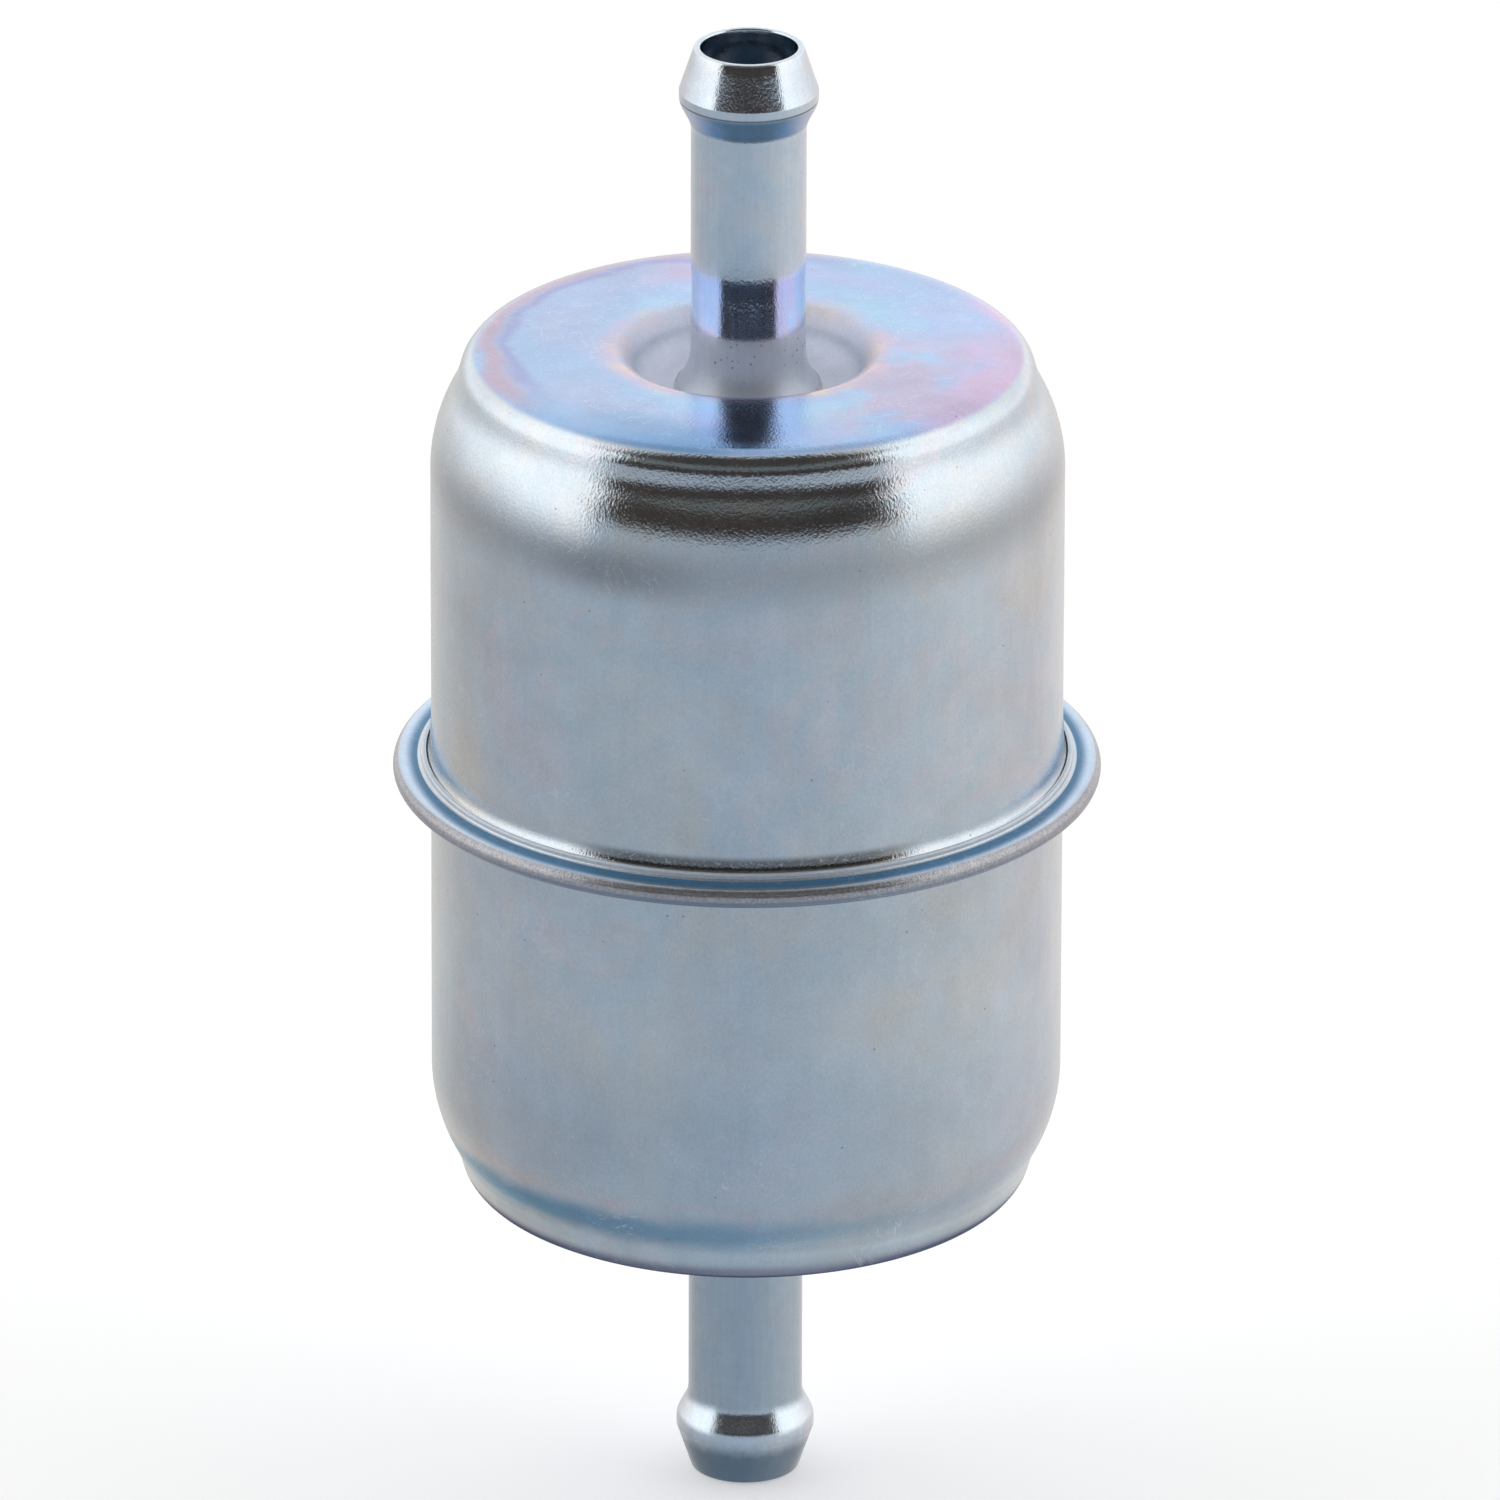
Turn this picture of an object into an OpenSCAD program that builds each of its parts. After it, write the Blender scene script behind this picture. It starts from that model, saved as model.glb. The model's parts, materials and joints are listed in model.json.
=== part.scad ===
// In-line metal-can fuel filter, millimetres.
// Origin on the axis at the mid-plane of the rolled seam; +Z points to the inlet, -Z to the outlet.
// Every section is drawn as radius against height, upper half; lower parts are the mirror image.

/* [Can] */
// Outside diameter of the straight can wall
can_d = 44.6; // [43:0.1:46]
// Height of one half can, from the seam plane to the flat end
can_half_h = 31.6; // [30:0.1:36]
// Thickness of the can sheet
sheet = 0.5; // [0.4:0.05:0.6]
// Radius of the rounded shoulder
shoulder_r = 11.3; // [10:0.1:12]
// Angle that the shoulder turns through before the neck
shoulder_angle = 29; // [28:0.5:32]
// Height at which the straight wall ends and the shoulder starts
shoulder_z = 22.6; // [21.6:0.1:23]
// Radius of the hollow neck between shoulder and rim
neck_r = 6; // [4:0.1:6.4]
// Angle at which the neck's flank leans inward
neck_angle = 15; // [12:1:18]
// Radius of the rim around the flat end
rim_r = 2.2; // [2:0.05:2.5]

/* [Dimple] */
// Diameter where the flat end starts to fall into the dimple
dimple_d = 19.8; // [19:0.1:22]
// Diameter of the flat dimple floor
dimple_floor_d = 12.4; // [12:0.1:13]
// Depth of the dimple
dimple_depth = 2.9; // [2:0.1:3]

/* [Seam bead] */
// Outside diameter of the rolled seam bead
bead_d = 50; // [49.4:0.1:51]
// Radius of the inlet shell's bend from wall to flange
seam_bend = 1.9; // [1.8:0.05:2]
// Radius of the outlet shell's bend from wall to flange
flange_bend = 0.8; // [0.6:0.1:1]
// Width of the flat top of the bead, from its inner edge to the start of the roll
bead_flat = 1.15; // [1:0.05:1.3]

/* [Hose nipples] */
// Outside diameter of the tube, for 5/16 inch hose
tube_d = 8.1; // [7.9:0.05:8.2]
// Diameter of the fuel passage
passage_d = 6.8; // [6:0.1:7]
// Diameter over the barb
barb_d = 9.8; // [9.4:0.1:10.2]
// Diameter of the tube at its tip
tip_d = 7.8; // [7.6:0.05:8]
// Height of the tip above the seam plane
tip_z = 54.2; // [52:0.1:58]
// Distance from the tip down to the widest part of the barb
barb_drop = 3.45; // [3.2:0.05:4]
// Diameter of the flared foot that stands in the dimple
foot_d = 10.2; // [10:0.1:10.6]
// Length of the tube inside the can, below the dimple
inner_tube = 4; // [3:0.1:4.5]

/* [Filter element] */
// Outside diameter of the end caps
cap_d = 38.8; // [38:0.1:39.2]
// Height of the end caps' rims
cap_rim_h = 4; // [3:0.1:5]
// Sheet thickness of the end caps, seat and spider
cap_sheet = 0.4; // [0.3:0.05:0.45]
// Thickness of the adhesive in each end cap
adhesive_h = 1.6; // [1:0.1:2]
// Number of pleats in the paper
pleats = 36; // [24:1:40]
// Outside diameter over the pleats
pleats_d = 36.8; // [35:0.1:37.2]
// Paper thickness
paper = 0.35; // [0.3:0.05:0.4]
// Outside diameter of the perforated centre tube
core_d = 18; // [17:0.1:18.4]

/* [Spring] */
// Wire diameter of the element spring
wire_d = 1; // [0.8:0.05:1.1]
// Mean coil diameter of the element spring
coil_d = 10.2; // [10:0.1:10.4]
// Number of turns
coil_turns = 5; // [4:0.5:6]
// Height of the spring as fitted
spring_h = 9; // [8:0.1:10]

/* [Hidden] */
$fn = 128;

// Can
can_r = can_d / 2;
half_sheet = sheet / 2;
floor_z = can_half_h - dimple_depth;          // outer face of the dimple floor
plateau_z = floor_z - sheet;                  // inner face of the dimple floor
hole_r = tube_d / 2 - 0.05;                   // hole for the nipple, and the nipple's inner tube
neck_cr = can_r - shoulder_r + (shoulder_r + neck_r) * cos(shoulder_angle);
neck_cz = shoulder_z + (shoulder_r + neck_r) * sin(shoulder_angle);
crown_r = 6;                                  // large radius that eases the rim into the flat end
crown_angle = 9.5;
rim_cz = can_half_h - crown_r + (crown_r - rim_r) * cos(crown_angle);
rim_cr = neck_cr - (neck_r + rim_r + (rim_cz - neck_cz) * sin(neck_angle)) / cos(neck_angle);
crown_cr = rim_cr - (crown_r - rim_r) * sin(crown_angle);
crown_cz = can_half_h - crown_r;
dimple_w = (dimple_d - dimple_floor_d) / 2;
dimple_slope = 2 * atan(dimple_depth / dimple_w);
dimple_bend = dimple_w / (2 * sin(dimple_slope));

// Seam bead: the inlet shell's flange lies between two layers of the outlet shell's curled flange
bead_half = 1.5 * sheet;                      // half the thickness of the three layers
roll_cr = bead_d / 2 - bead_half;
flange_edge_r = roll_cr - half_sheet;
lip_start_r = roll_cr - bead_flat;
lip_w = 0.5;                                  // width and height of the lip that leans on the inlet shell
lip_turn = 26;                                // angle that the lip's hollow face turns through
lip_arc = lip_w / (sqrt(2) * sin(lip_turn / 2));
lip_cr = lip_start_r + lip_arc * cos(45 + lip_turn / 2);
lip_cz = bead_half + lip_arc * sin(45 + lip_turn / 2);
seam_cr = can_r + seam_bend;
seam_cz = half_sheet + seam_bend;
lip_end_angle = atan((seam_cz - bead_half - lip_w) / (seam_cr - lip_start_r + lip_w));

// Nipple
tube_r = tube_d / 2;
barb_r = barb_d / 2;
barb_z = tip_z - barb_drop;
barb_land = 0.4;                              // short cylinder at the widest part of the barb
barb_round = 0.8;                             // radius on each side of the land
barb_hollow = 0.6;                            // radius of the hollow where the barb's back meets the tube
barb_back = 27;                               // slope of the barb's back
barb_flank = 19;                              // slope of the barb's front cone
tip_round = 0.25;
mouth_bevel = 0.15;
foot_edge = 0.3;                              // height of the foot's upright edge
foot_flare = 3.7;                             // radius of the flare from foot to tube
foot_r = foot_d / 2;
foot_rise = sqrt(pow(foot_flare, 2) - pow(tube_r + foot_flare - foot_r, 2));
inner_end_z = plateau_z - inner_tube;
braze_w = 0.65;
braze_h = 0.45;

// Element, from the outlet seal up to the spring
seal_flange_h = 1.2;
seal_clearance = 0.1;                         // running clearance between the seal and the inner tube
open_cap_z = -plateau_z + seal_flange_h;      // lower face of the open end cap
open_cap_hole_r = 6;
seat_z = plateau_z - spring_h;                // upper face of the spring seat
closed_cap_z = seat_z - 2 * cap_sheet;        // lower face of the closed end cap
cap_r = cap_d / 2;
pleats_low = open_cap_z + cap_sheet + adhesive_h;
pleats_high = closed_cap_z - adhesive_h;
core_r = core_d / 2;
core_low = open_cap_z + cap_sheet;
core_high = closed_cap_z;
core_holes = 8;                               // holes in each ring
core_hole_d = 2.6;
core_rings = 8;
pleat_pitch = 360 / pleats;
pleat_out_r = pleats_d / 2;
pleat_in_r = core_r + 0.4;
fold_half = 0.45;                             // half width of a pleat at its folded edge
clip_gauge = 0.25;
clip_depth = 1.7;
spider_ring_r = 10.5;
spider_arm_w = 4;
spider_arms = 4;
spider_r = can_r - sheet - 0.4;
spider_finger_h = 4.4;
seat_r = 7.2;
seat_collar_r = 4;
seat_collar_h = 1.5;
coil_flat = 0.38;                             // how much flatter than the mean the end turns are
coil_gap = 0.02;                              // gap between the spring and each face it bears on

// Points along an arc about [r, z] from angle a0 to a1
function arc(r, z, radius, a0, a1, n = 8) =
    [for (i = [0:n]) let (a = a0 + (a1 - a0) * i / n) [r + radius * cos(a), z + radius * sin(a)]];
function reversed(path) = [for (i = [len(path) - 1:-1:0]) path[i]];

// The can's skin from the top of the straight wall to the nipple hole, moved inward by inset
function end_skin(inset) = concat(
    arc(can_r - shoulder_r, shoulder_z, shoulder_r - inset, 0, shoulder_angle, 12),
    arc(neck_cr, neck_cz, neck_r + inset, 180 + shoulder_angle, 180 + neck_angle, 5),
    arc(rim_cr, rim_cz, rim_r - inset, neck_angle, 90 - crown_angle, 10),
    arc(crown_cr, crown_cz, crown_r - inset, 90 - crown_angle, 90, 4),
    arc(dimple_d / 2, can_half_h - dimple_bend, dimple_bend - inset, 90, 90 + dimple_slope, 8),
    arc(dimple_floor_d / 2, floor_z + dimple_bend, dimple_bend + inset, 270 + dimple_slope, 270, 8),
    [[hole_r, floor_z - inset]]
);

module turned(points) {
    rotate_extrude() polygon(points);
}

module ring(r_in, r_out, z_low, z_high) {
    translate([0, 0, z_low]) difference() {
        cylinder(r = r_out, h = z_high - z_low);
        translate([0, 0, -1]) cylinder(r = r_in, h = z_high - z_low + 2);
    }
}

// Angle at which the inlet shell's bend, moved outward by inset, reaches the edge of the flange
function flange_angle(inset) = acos((seam_cr - flange_edge_r) / (seam_bend + inset));

// Inlet half can with its plain flange
module inlet_shell() {
    color([0.66, 0.71, 0.76]) turned(concat(
        arc(seam_cr, seam_cz, seam_bend, 180 + flange_angle(0), 180, 10),
        end_skin(0),
        reversed(end_skin(sheet)),
        arc(seam_cr, seam_cz, seam_bend + sheet, 180, 180 + flange_angle(sheet), 10)
    ));
}

// Outlet half can, whose flange is curled over the inlet shell's flange
module outlet_shell() {
    color([0.64, 0.69, 0.74]) mirror([0, 0, 1]) turned(concat(
        reversed(end_skin(0)),
        arc(can_r + flange_bend, bead_half + flange_bend, flange_bend, 180, 270, 6),
        arc(roll_cr, 0, bead_half, 90, -90, 16),
        arc(lip_cr, -lip_cz, lip_arc, 135 - lip_turn / 2, 135 + lip_turn / 2, 5),
        arc(seam_cr, -seam_cz, seam_bend, 180 - lip_end_angle, 180 - flange_angle(0), 6),
        arc(roll_cr, 0, half_sheet, -90, 90, 8),
        arc(can_r + flange_bend, bead_half + flange_bend, flange_bend + sheet, 270, 180, 6),
        end_skin(sheet)
    ));
}

// Bead of sealing compound that fills the roll beyond the inlet shell's flange
module seam_seal() {
    color([0.25, 0.26, 0.27]) turned(concat(
        [[flange_edge_r, -half_sheet]],
        arc(roll_cr, 0, half_sheet, -90, 90, 8),
        [[flange_edge_r, half_sheet]]
    ));
}

// Barbed tube with a flared foot; its inner end passes through the dimple floor
module nipple() {
    round_cr = barb_r - barb_round;
    hollow_cr = tube_r + barb_hollow;
    back_cz = barb_z - barb_land / 2;
    hollow_cz = back_cz
        + ((hollow_cr - round_cr) * cos(barb_back) - barb_round - barb_hollow) / sin(barb_back);
    color([0.66, 0.70, 0.74]) turned(concat(
        [[passage_d / 2, inner_end_z], [hole_r, inner_end_z], [hole_r, floor_z]],
        [[foot_r, floor_z]],
        arc(tube_r + foot_flare, floor_z + foot_edge + foot_rise, foot_flare,
            180 + asin(foot_rise / foot_flare), 180, 8),
        arc(hollow_cr, hollow_cz, barb_hollow, 180, 180 - barb_back, 4),
        arc(round_cr, back_cz, barb_round, -barb_back, 0, 5),
        arc(round_cr, back_cz + barb_land, barb_round, 0, barb_flank, 4),
        arc(tip_d / 2 - tip_round, tip_z - tip_round, tip_round, barb_flank, 90, 4),
        [[passage_d / 2 + mouth_bevel, tip_z], [passage_d / 2, tip_z - mouth_bevel]]
    ));
}

module inlet_nipple() {
    nipple();
}

module outlet_nipple() {
    mirror([0, 0, 1]) nipple();
}

// Fillet of braze around the nipple's foot
module braze_ring() {
    color([0.78, 0.74, 0.68]) turned([
        [foot_r, floor_z],
        [foot_r + braze_w, floor_z],
        [foot_r + braze_w * 0.35, floor_z + braze_h * 0.4],
        [foot_r, floor_z + foot_edge]
    ]);
}

module inlet_braze_ring() {
    braze_ring();
}

module outlet_braze_ring() {
    mirror([0, 0, 1]) braze_ring();
}

// One edge of the folded paper; the band lies between the edges with side 1 and side 0
function pleat_edge(side) = [
    for (i = [0:pleats - 1])
        let (
            outer_r = pleat_out_r - (1 - side) * paper,
            inner_r = pleat_in_r + side * paper,
            outer_w = fold_half - (1 - side) * paper,
            inner_w = fold_half - side * paper,
            a = i * pleat_pitch,
            da = outer_w / outer_r * 180 / PI,
            b = (i + 0.5) * pleat_pitch,
            db = inner_w / inner_r * 180 / PI
        )
        each [
            outer_r * [cos(a - da), sin(a - da)],
            outer_r * [cos(a + da), sin(a + da)],
            inner_r * [cos(b - db), sin(b - db)],
            inner_r * [cos(b + db), sin(b + db)]
        ]
];

// Pleated filter paper
module filter_pleats() {
    color([0.88, 0.78, 0.52]) translate([0, 0, pleats_low])
        linear_extrude(pleats_high - pleats_low) difference() {
            polygon(pleat_edge(1));
            polygon(pleat_edge(0));
        }
}

// Folded strip that joins the two ends of the paper over one pleat
module pleat_seam_clip() {
    inner_w = fold_half + 0.1;
    outer_w = inner_w + clip_gauge;
    r_low = pleat_out_r - clip_depth;
    color([0.62, 0.63, 0.65]) translate([0, 0, pleats_low])
        linear_extrude(pleats_high - pleats_low) difference() {
            translate([r_low, -outer_w]) square([clip_depth + clip_gauge, 2 * outer_w]);
            translate([r_low - 1, -inner_w]) square([clip_depth + 1, 2 * inner_w]);
        }
}

// Perforated steel tube that holds the paper open
module centre_tube() {
    ring_step = (core_high - core_low) / core_rings;
    color([0.60, 0.62, 0.64]) difference() {
        ring(core_r - cap_sheet, core_r, core_low, core_high);
        for (row = [0:core_rings - 1], k = [0:core_holes - 1])
            rotate([0, 0, (k + (row % 2) / 2) * 360 / core_holes])
                translate([core_r - 2, 0, core_low + (row + 0.5) * ring_step])
                    rotate([0, 90, 0])
                        cylinder(d = core_hole_d, h = 4, $fn = 24);
    }
}

// Plain cap with a downturned rim, at the inlet end of the element
module closed_end_cap() {
    top = closed_cap_z + cap_sheet;
    color([0.66, 0.67, 0.68]) union() {
        translate([0, 0, closed_cap_z]) cylinder(r = cap_r, h = cap_sheet);
        ring(cap_r - cap_sheet, cap_r, top - cap_rim_h, top);
    }
}

// Cap with an upturned rim and a hole that holds the outlet seal
module open_end_cap() {
    color([0.66, 0.67, 0.68]) union() {
        ring(open_cap_hole_r, cap_r, open_cap_z, open_cap_z + cap_sheet);
        ring(cap_r - cap_sheet, cap_r, open_cap_z, open_cap_z + cap_rim_h);
    }
}

// Ring of adhesive between the paper and a cap
module adhesive(z_low) {
    color([0.70, 0.24, 0.14]) ring(core_r + 0.02, cap_r - cap_sheet, z_low, z_low + adhesive_h);
}

module closed_cap_adhesive() {
    adhesive(closed_cap_z - adhesive_h);
}

module open_cap_adhesive() {
    adhesive(open_cap_z + cap_sheet);
}

// Rubber grommet that grips the open cap's hole and slides on the outlet nipple's inner tube
module outlet_seal() {
    bore = hole_r + seal_clearance;
    color([0.10, 0.10, 0.11]) turned([
        [bore, -plateau_z],
        [7.2, -plateau_z],
        [7.2, open_cap_z],
        [open_cap_hole_r, open_cap_z],
        [open_cap_hole_r, open_cap_z + cap_sheet],
        [6.9, open_cap_z + cap_sheet],
        [6.9, open_cap_z + cap_sheet + seal_flange_h],
        [bore, open_cap_z + cap_sheet + seal_flange_h]
    ]);
}

// Height of the coil's centre line at the share u of its turns; the end turns are the flattest
function coil_z(u) =
    let (low = seat_z + wire_d / 2 + coil_gap, high = plateau_z - wire_d / 2 - coil_gap)
    low + (high - low) * (u - coil_flat * sin(360 * u) / (2 * PI));

// Compression spring that holds the element on its seat
module element_spring() {
    sides = 8;
    steps = 24;
    rings = coil_turns * steps;
    points = [
        for (i = [0:rings], k = [0:sides - 1])
            let (
                a = 360 * i / steps,
                b = 360 * k / sides,
                r = coil_d / 2 + wire_d / 2 * cos(b)
            )
            [r * cos(a), r * sin(a), coil_z(i / rings) + wire_d / 2 * sin(b)]
    ];
    sides_faces = [
        for (i = [0:rings - 1], k = [0:sides - 1])
            let (a = i * sides + k, b = i * sides + (k + 1) % sides)
            [a, b, b + sides, a + sides]
    ];
    start_face = [for (k = [sides - 1:-1:0]) k];
    end_face = [for (k = [0:sides - 1]) rings * sides + k];
    color([0.55, 0.56, 0.58]) polyhedron(points, concat([start_face], sides_faces, [end_face]));
}

// Washer with a collar that keeps the spring on the axis
module spring_seat() {
    color([0.64, 0.65, 0.66]) union() {
        ring(seat_collar_r - cap_sheet, seat_r, seat_z - cap_sheet, seat_z);
        ring(seat_collar_r - cap_sheet, seat_collar_r, seat_z - cap_sheet, seat_z + seat_collar_h);
    }
}

// Four-armed spider that keeps the closed end of the element on the axis of the can
module centring_spider() {
    base = closed_cap_z + cap_sheet;
    color([0.62, 0.63, 0.64]) intersection() {
        union() {
            ring(seat_r + 0.1, spider_r, base, base + cap_sheet);
            ring(spider_r - cap_sheet, spider_r, base + cap_sheet - spider_finger_h, base + cap_sheet);
        }
        union() {
            translate([0, 0, base - 1]) cylinder(r = spider_ring_r, h = 3);
            for (k = [0:spider_arms / 2 - 1])
                rotate([0, 0, k * 360 / spider_arms])
                    translate([-can_r, -spider_arm_w / 2, base - 2 * spider_finger_h])
                        cube([can_d, spider_arm_w, 4 * spider_finger_h]);
        }
    }
}

inlet_shell();
outlet_shell();
seam_seal();
inlet_nipple();
outlet_nipple();
inlet_braze_ring();
outlet_braze_ring();
filter_pleats();
pleat_seam_clip();
centre_tube();
closed_end_cap();
open_end_cap();
closed_cap_adhesive();
open_cap_adhesive();
outlet_seal();
element_spring();
spring_seat();
centring_spider();
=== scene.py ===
"""Looks of an in-line metal-can fuel filter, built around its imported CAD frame.

Everything is in metres in the frame's own axes: the filter stands on the Z axis, with its inlet at +Z.
Outlines are drawn in millimetres as (radius, height) points of the upper half and turned about Z.
"""
import json
import math

import bpy
import bmesh
import numpy as np
from mathutils import Euler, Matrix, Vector, noise


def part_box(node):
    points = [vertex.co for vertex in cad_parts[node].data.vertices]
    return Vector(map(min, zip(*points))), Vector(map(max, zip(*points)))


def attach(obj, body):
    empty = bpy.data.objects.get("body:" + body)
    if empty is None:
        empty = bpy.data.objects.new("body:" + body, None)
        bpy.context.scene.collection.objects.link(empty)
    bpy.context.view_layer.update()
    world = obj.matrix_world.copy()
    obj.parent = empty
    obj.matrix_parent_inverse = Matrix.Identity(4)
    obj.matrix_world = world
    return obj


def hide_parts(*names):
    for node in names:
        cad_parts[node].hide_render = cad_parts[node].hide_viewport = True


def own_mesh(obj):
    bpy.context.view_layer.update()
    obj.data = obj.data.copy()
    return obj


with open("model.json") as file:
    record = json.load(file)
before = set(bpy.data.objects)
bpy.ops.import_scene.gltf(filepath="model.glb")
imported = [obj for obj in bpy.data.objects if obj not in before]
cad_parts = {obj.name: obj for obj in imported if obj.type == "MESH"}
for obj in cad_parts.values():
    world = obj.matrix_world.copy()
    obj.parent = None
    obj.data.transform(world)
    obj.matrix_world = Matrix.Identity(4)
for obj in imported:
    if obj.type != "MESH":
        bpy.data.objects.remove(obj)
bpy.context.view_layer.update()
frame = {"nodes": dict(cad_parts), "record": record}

MM = 0.001
TURN = 2 * math.pi
UP = 1
DOWN = -1


# ---------------------------------------------------------------- sizes, in millimetres

def mount(name):
    """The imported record's mount of that name."""
    return next(m for m in frame["record"]["mounts"] if m["name"] == name)


def low(node):
    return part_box(node)[0] / MM


def high(node):
    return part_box(node)[1] / MM


# Can
CAN_R = mount("upper_clamp_band")["dims"]["r_mm"]
CAN_TOP = high("inlet_shell").z
BEAD_R = high("outlet_shell").y
SHEET = 0.5
SHOULDER_R = 11.3
SHOULDER_ANGLE = 29
SHOULDER_Z = 22.6
NECK_R = 6
NECK_ANGLE = 15
RIM_R = 2.2
CROWN_R = 6
CROWN_ANGLE = 9.5
DIMPLE_R = 9.9
DIMPLE_FLOOR_R = 6.2
DIMPLE_DEPTH = 2.9
FLOOR_Z = CAN_TOP - DIMPLE_DEPTH

# Seam bead
BEAD_HALF = 1.5 * SHEET
ROLL_CR = BEAD_R - BEAD_HALF
SEAM_BEND = 1.9
FLANGE_BEND = 0.8
BEAD_FLAT = 1.15
LIP_TOP = 1.2
LIP_ROUND = 0.2
LIP_FOOT = 0.15
LIP_GAP = 0.07
LIP_SET = 0.08
SPREAD = 0.08
SPREAD_Z = 2.3
SPREAD_HALF = 0.9
WALL_WAVE = 0.02

# Nipple
TUBE_R = 4.05
INNER_TUBE_R = TUBE_R - 0.05
PASSAGE_R = mount("inlet_passage")["dims"]["r_mm"]
TIP_Z = high("inlet_nipple").z
BARB_R = mount("inlet_barb")["dims"]["r_mm"]
BARB_Z = mount("inlet_barb")["pos_m"][2] / MM
BARB_LAND = mount("inlet_barb")["dims"]["length_mm"]
BARB_ROUND = 1.5
BARB_NOSE = 0.3
BARB_SWELL = 7
BARB_EDGE = 18.5
BARB_HOLLOW = 2.2
BARB_BACK = 27.5
BARB_FLANK = 19
TIP_R = 3.9
TIP_ROUND = 0.25
MOUTH_BEVEL = 0.15
FOOT_R = 5.1
FOOT_EDGE = 0.3
FOOT_FLARE = 3.7
WAIST = 0.07
WAIST_Z = (32.6, 36.4, 38.5)
INNER_END_Z = low("inlet_nipple").z
BRAZE_W = high("inlet_braze_ring").x - FOOT_R
BRAZE_SINK = 0.05
BRAZE_TOP_Z = FLOOR_Z + FOOT_EDGE + 0.1

# Filter element
CAP_R = high("closed_end_cap").x
CAP_SHEET = 0.4
CAP_BEND = 0.9
CAP_EDGE = 0.15
CORE_R = high("centre_tube").x
CAP_HOLE_R = 6
SEAL_R = high("outlet_seal").x
SEAL_BORE_R = TUBE_R + 0.05
SEAL_NECK_R = 6.9
MENISCUS = 0.35
MENISCUS_W = 0.12
MENISCUS_BEND = 0.3
ADHESIVE_IN_R = CORE_R + 0.02
PLEATS = 36
PLEATS_R = high("filter_pleats").x
PLEATS_IN_R = CORE_R + 0.4
PAPER = 0.35
FOLD_HALF = 0.45
FOLD_STEPS = 8
SWAY_DEGREES = 0.35

# Spring
WIRE_R = 0.5
COIL_R = 5.1
COIL_TURNS = 5
COIL_FLAT = 0.38


# ---------------------------------------------------------------- outlines

def cos(angle):
    return math.cos(math.radians(angle))


def sin(angle):
    return math.sin(math.radians(angle))


def arc(r, z, radius, start, end, step=6):
    """Points along an arc about (r, z), from angle start to end in degrees."""
    count = max(2, math.ceil(abs(end - start) / step))
    angles = [start + (end - start) * i / count for i in range(count + 1)]
    return [(r + radius * cos(a), z + radius * sin(a)) for a in angles]


def end_skin(inset):
    """The can's skin from the top of the straight wall to the nipple hole, moved inward by inset."""
    neck_cr = CAN_R - SHOULDER_R + (SHOULDER_R + NECK_R) * cos(SHOULDER_ANGLE)
    neck_cz = SHOULDER_Z + (SHOULDER_R + NECK_R) * sin(SHOULDER_ANGLE)
    rim_cz = CAN_TOP - CROWN_R + (CROWN_R - RIM_R) * cos(CROWN_ANGLE)
    rim_cr = neck_cr - (NECK_R + RIM_R + (rim_cz - neck_cz) * sin(NECK_ANGLE)) / cos(NECK_ANGLE)
    crown_cr = rim_cr - (CROWN_R - RIM_R) * sin(CROWN_ANGLE)
    dimple_w = DIMPLE_R - DIMPLE_FLOOR_R
    slope = math.degrees(2 * math.atan(DIMPLE_DEPTH / dimple_w))
    bend = dimple_w / (2 * sin(slope))
    return (
        arc(CAN_R - SHOULDER_R, SHOULDER_Z, SHOULDER_R - inset, 0, SHOULDER_ANGLE, 1.5)
        + arc(neck_cr, neck_cz, NECK_R + inset, 180 + SHOULDER_ANGLE, 180 + NECK_ANGLE, 2)
        + arc(rim_cr, rim_cz, RIM_R - inset, NECK_ANGLE, 90 - CROWN_ANGLE, 5)
        + arc(crown_cr, CAN_TOP - CROWN_R, CROWN_R - inset, 90 - CROWN_ANGLE, 90, 2)
        + arc(DIMPLE_R, CAN_TOP - bend, bend - inset, 90, 90 + slope)
        + arc(DIMPLE_FLOOR_R, FLOOR_Z + bend, bend + inset, 270 + slope, 270)
        + [(TUBE_R, FLOOR_Z - inset)]
    )


SEAM_CR = CAN_R + SEAM_BEND
SEAM_CZ = SHEET / 2 + SEAM_BEND
FLANGE_EDGE_R = ROLL_CR - SHEET / 2


def flange_angle(inset):
    """Where the inlet shell's bend, moved outward by inset, reaches the edge of the flange."""
    return math.degrees(math.acos((SEAM_CR - FLANGE_EDGE_R) / (SEAM_BEND + inset)))


def inlet_shell_outline():
    """Upper half can with its plain flange."""
    return (
        arc(SEAM_CR, SEAM_CZ, SEAM_BEND, 180 + flange_angle(0), 180)
        + end_skin(0)
        + end_skin(SHEET)[::-1]
        + arc(SEAM_CR, SEAM_CZ, SEAM_BEND + SHEET, 180, 180 + flange_angle(SHEET))
    )


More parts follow.
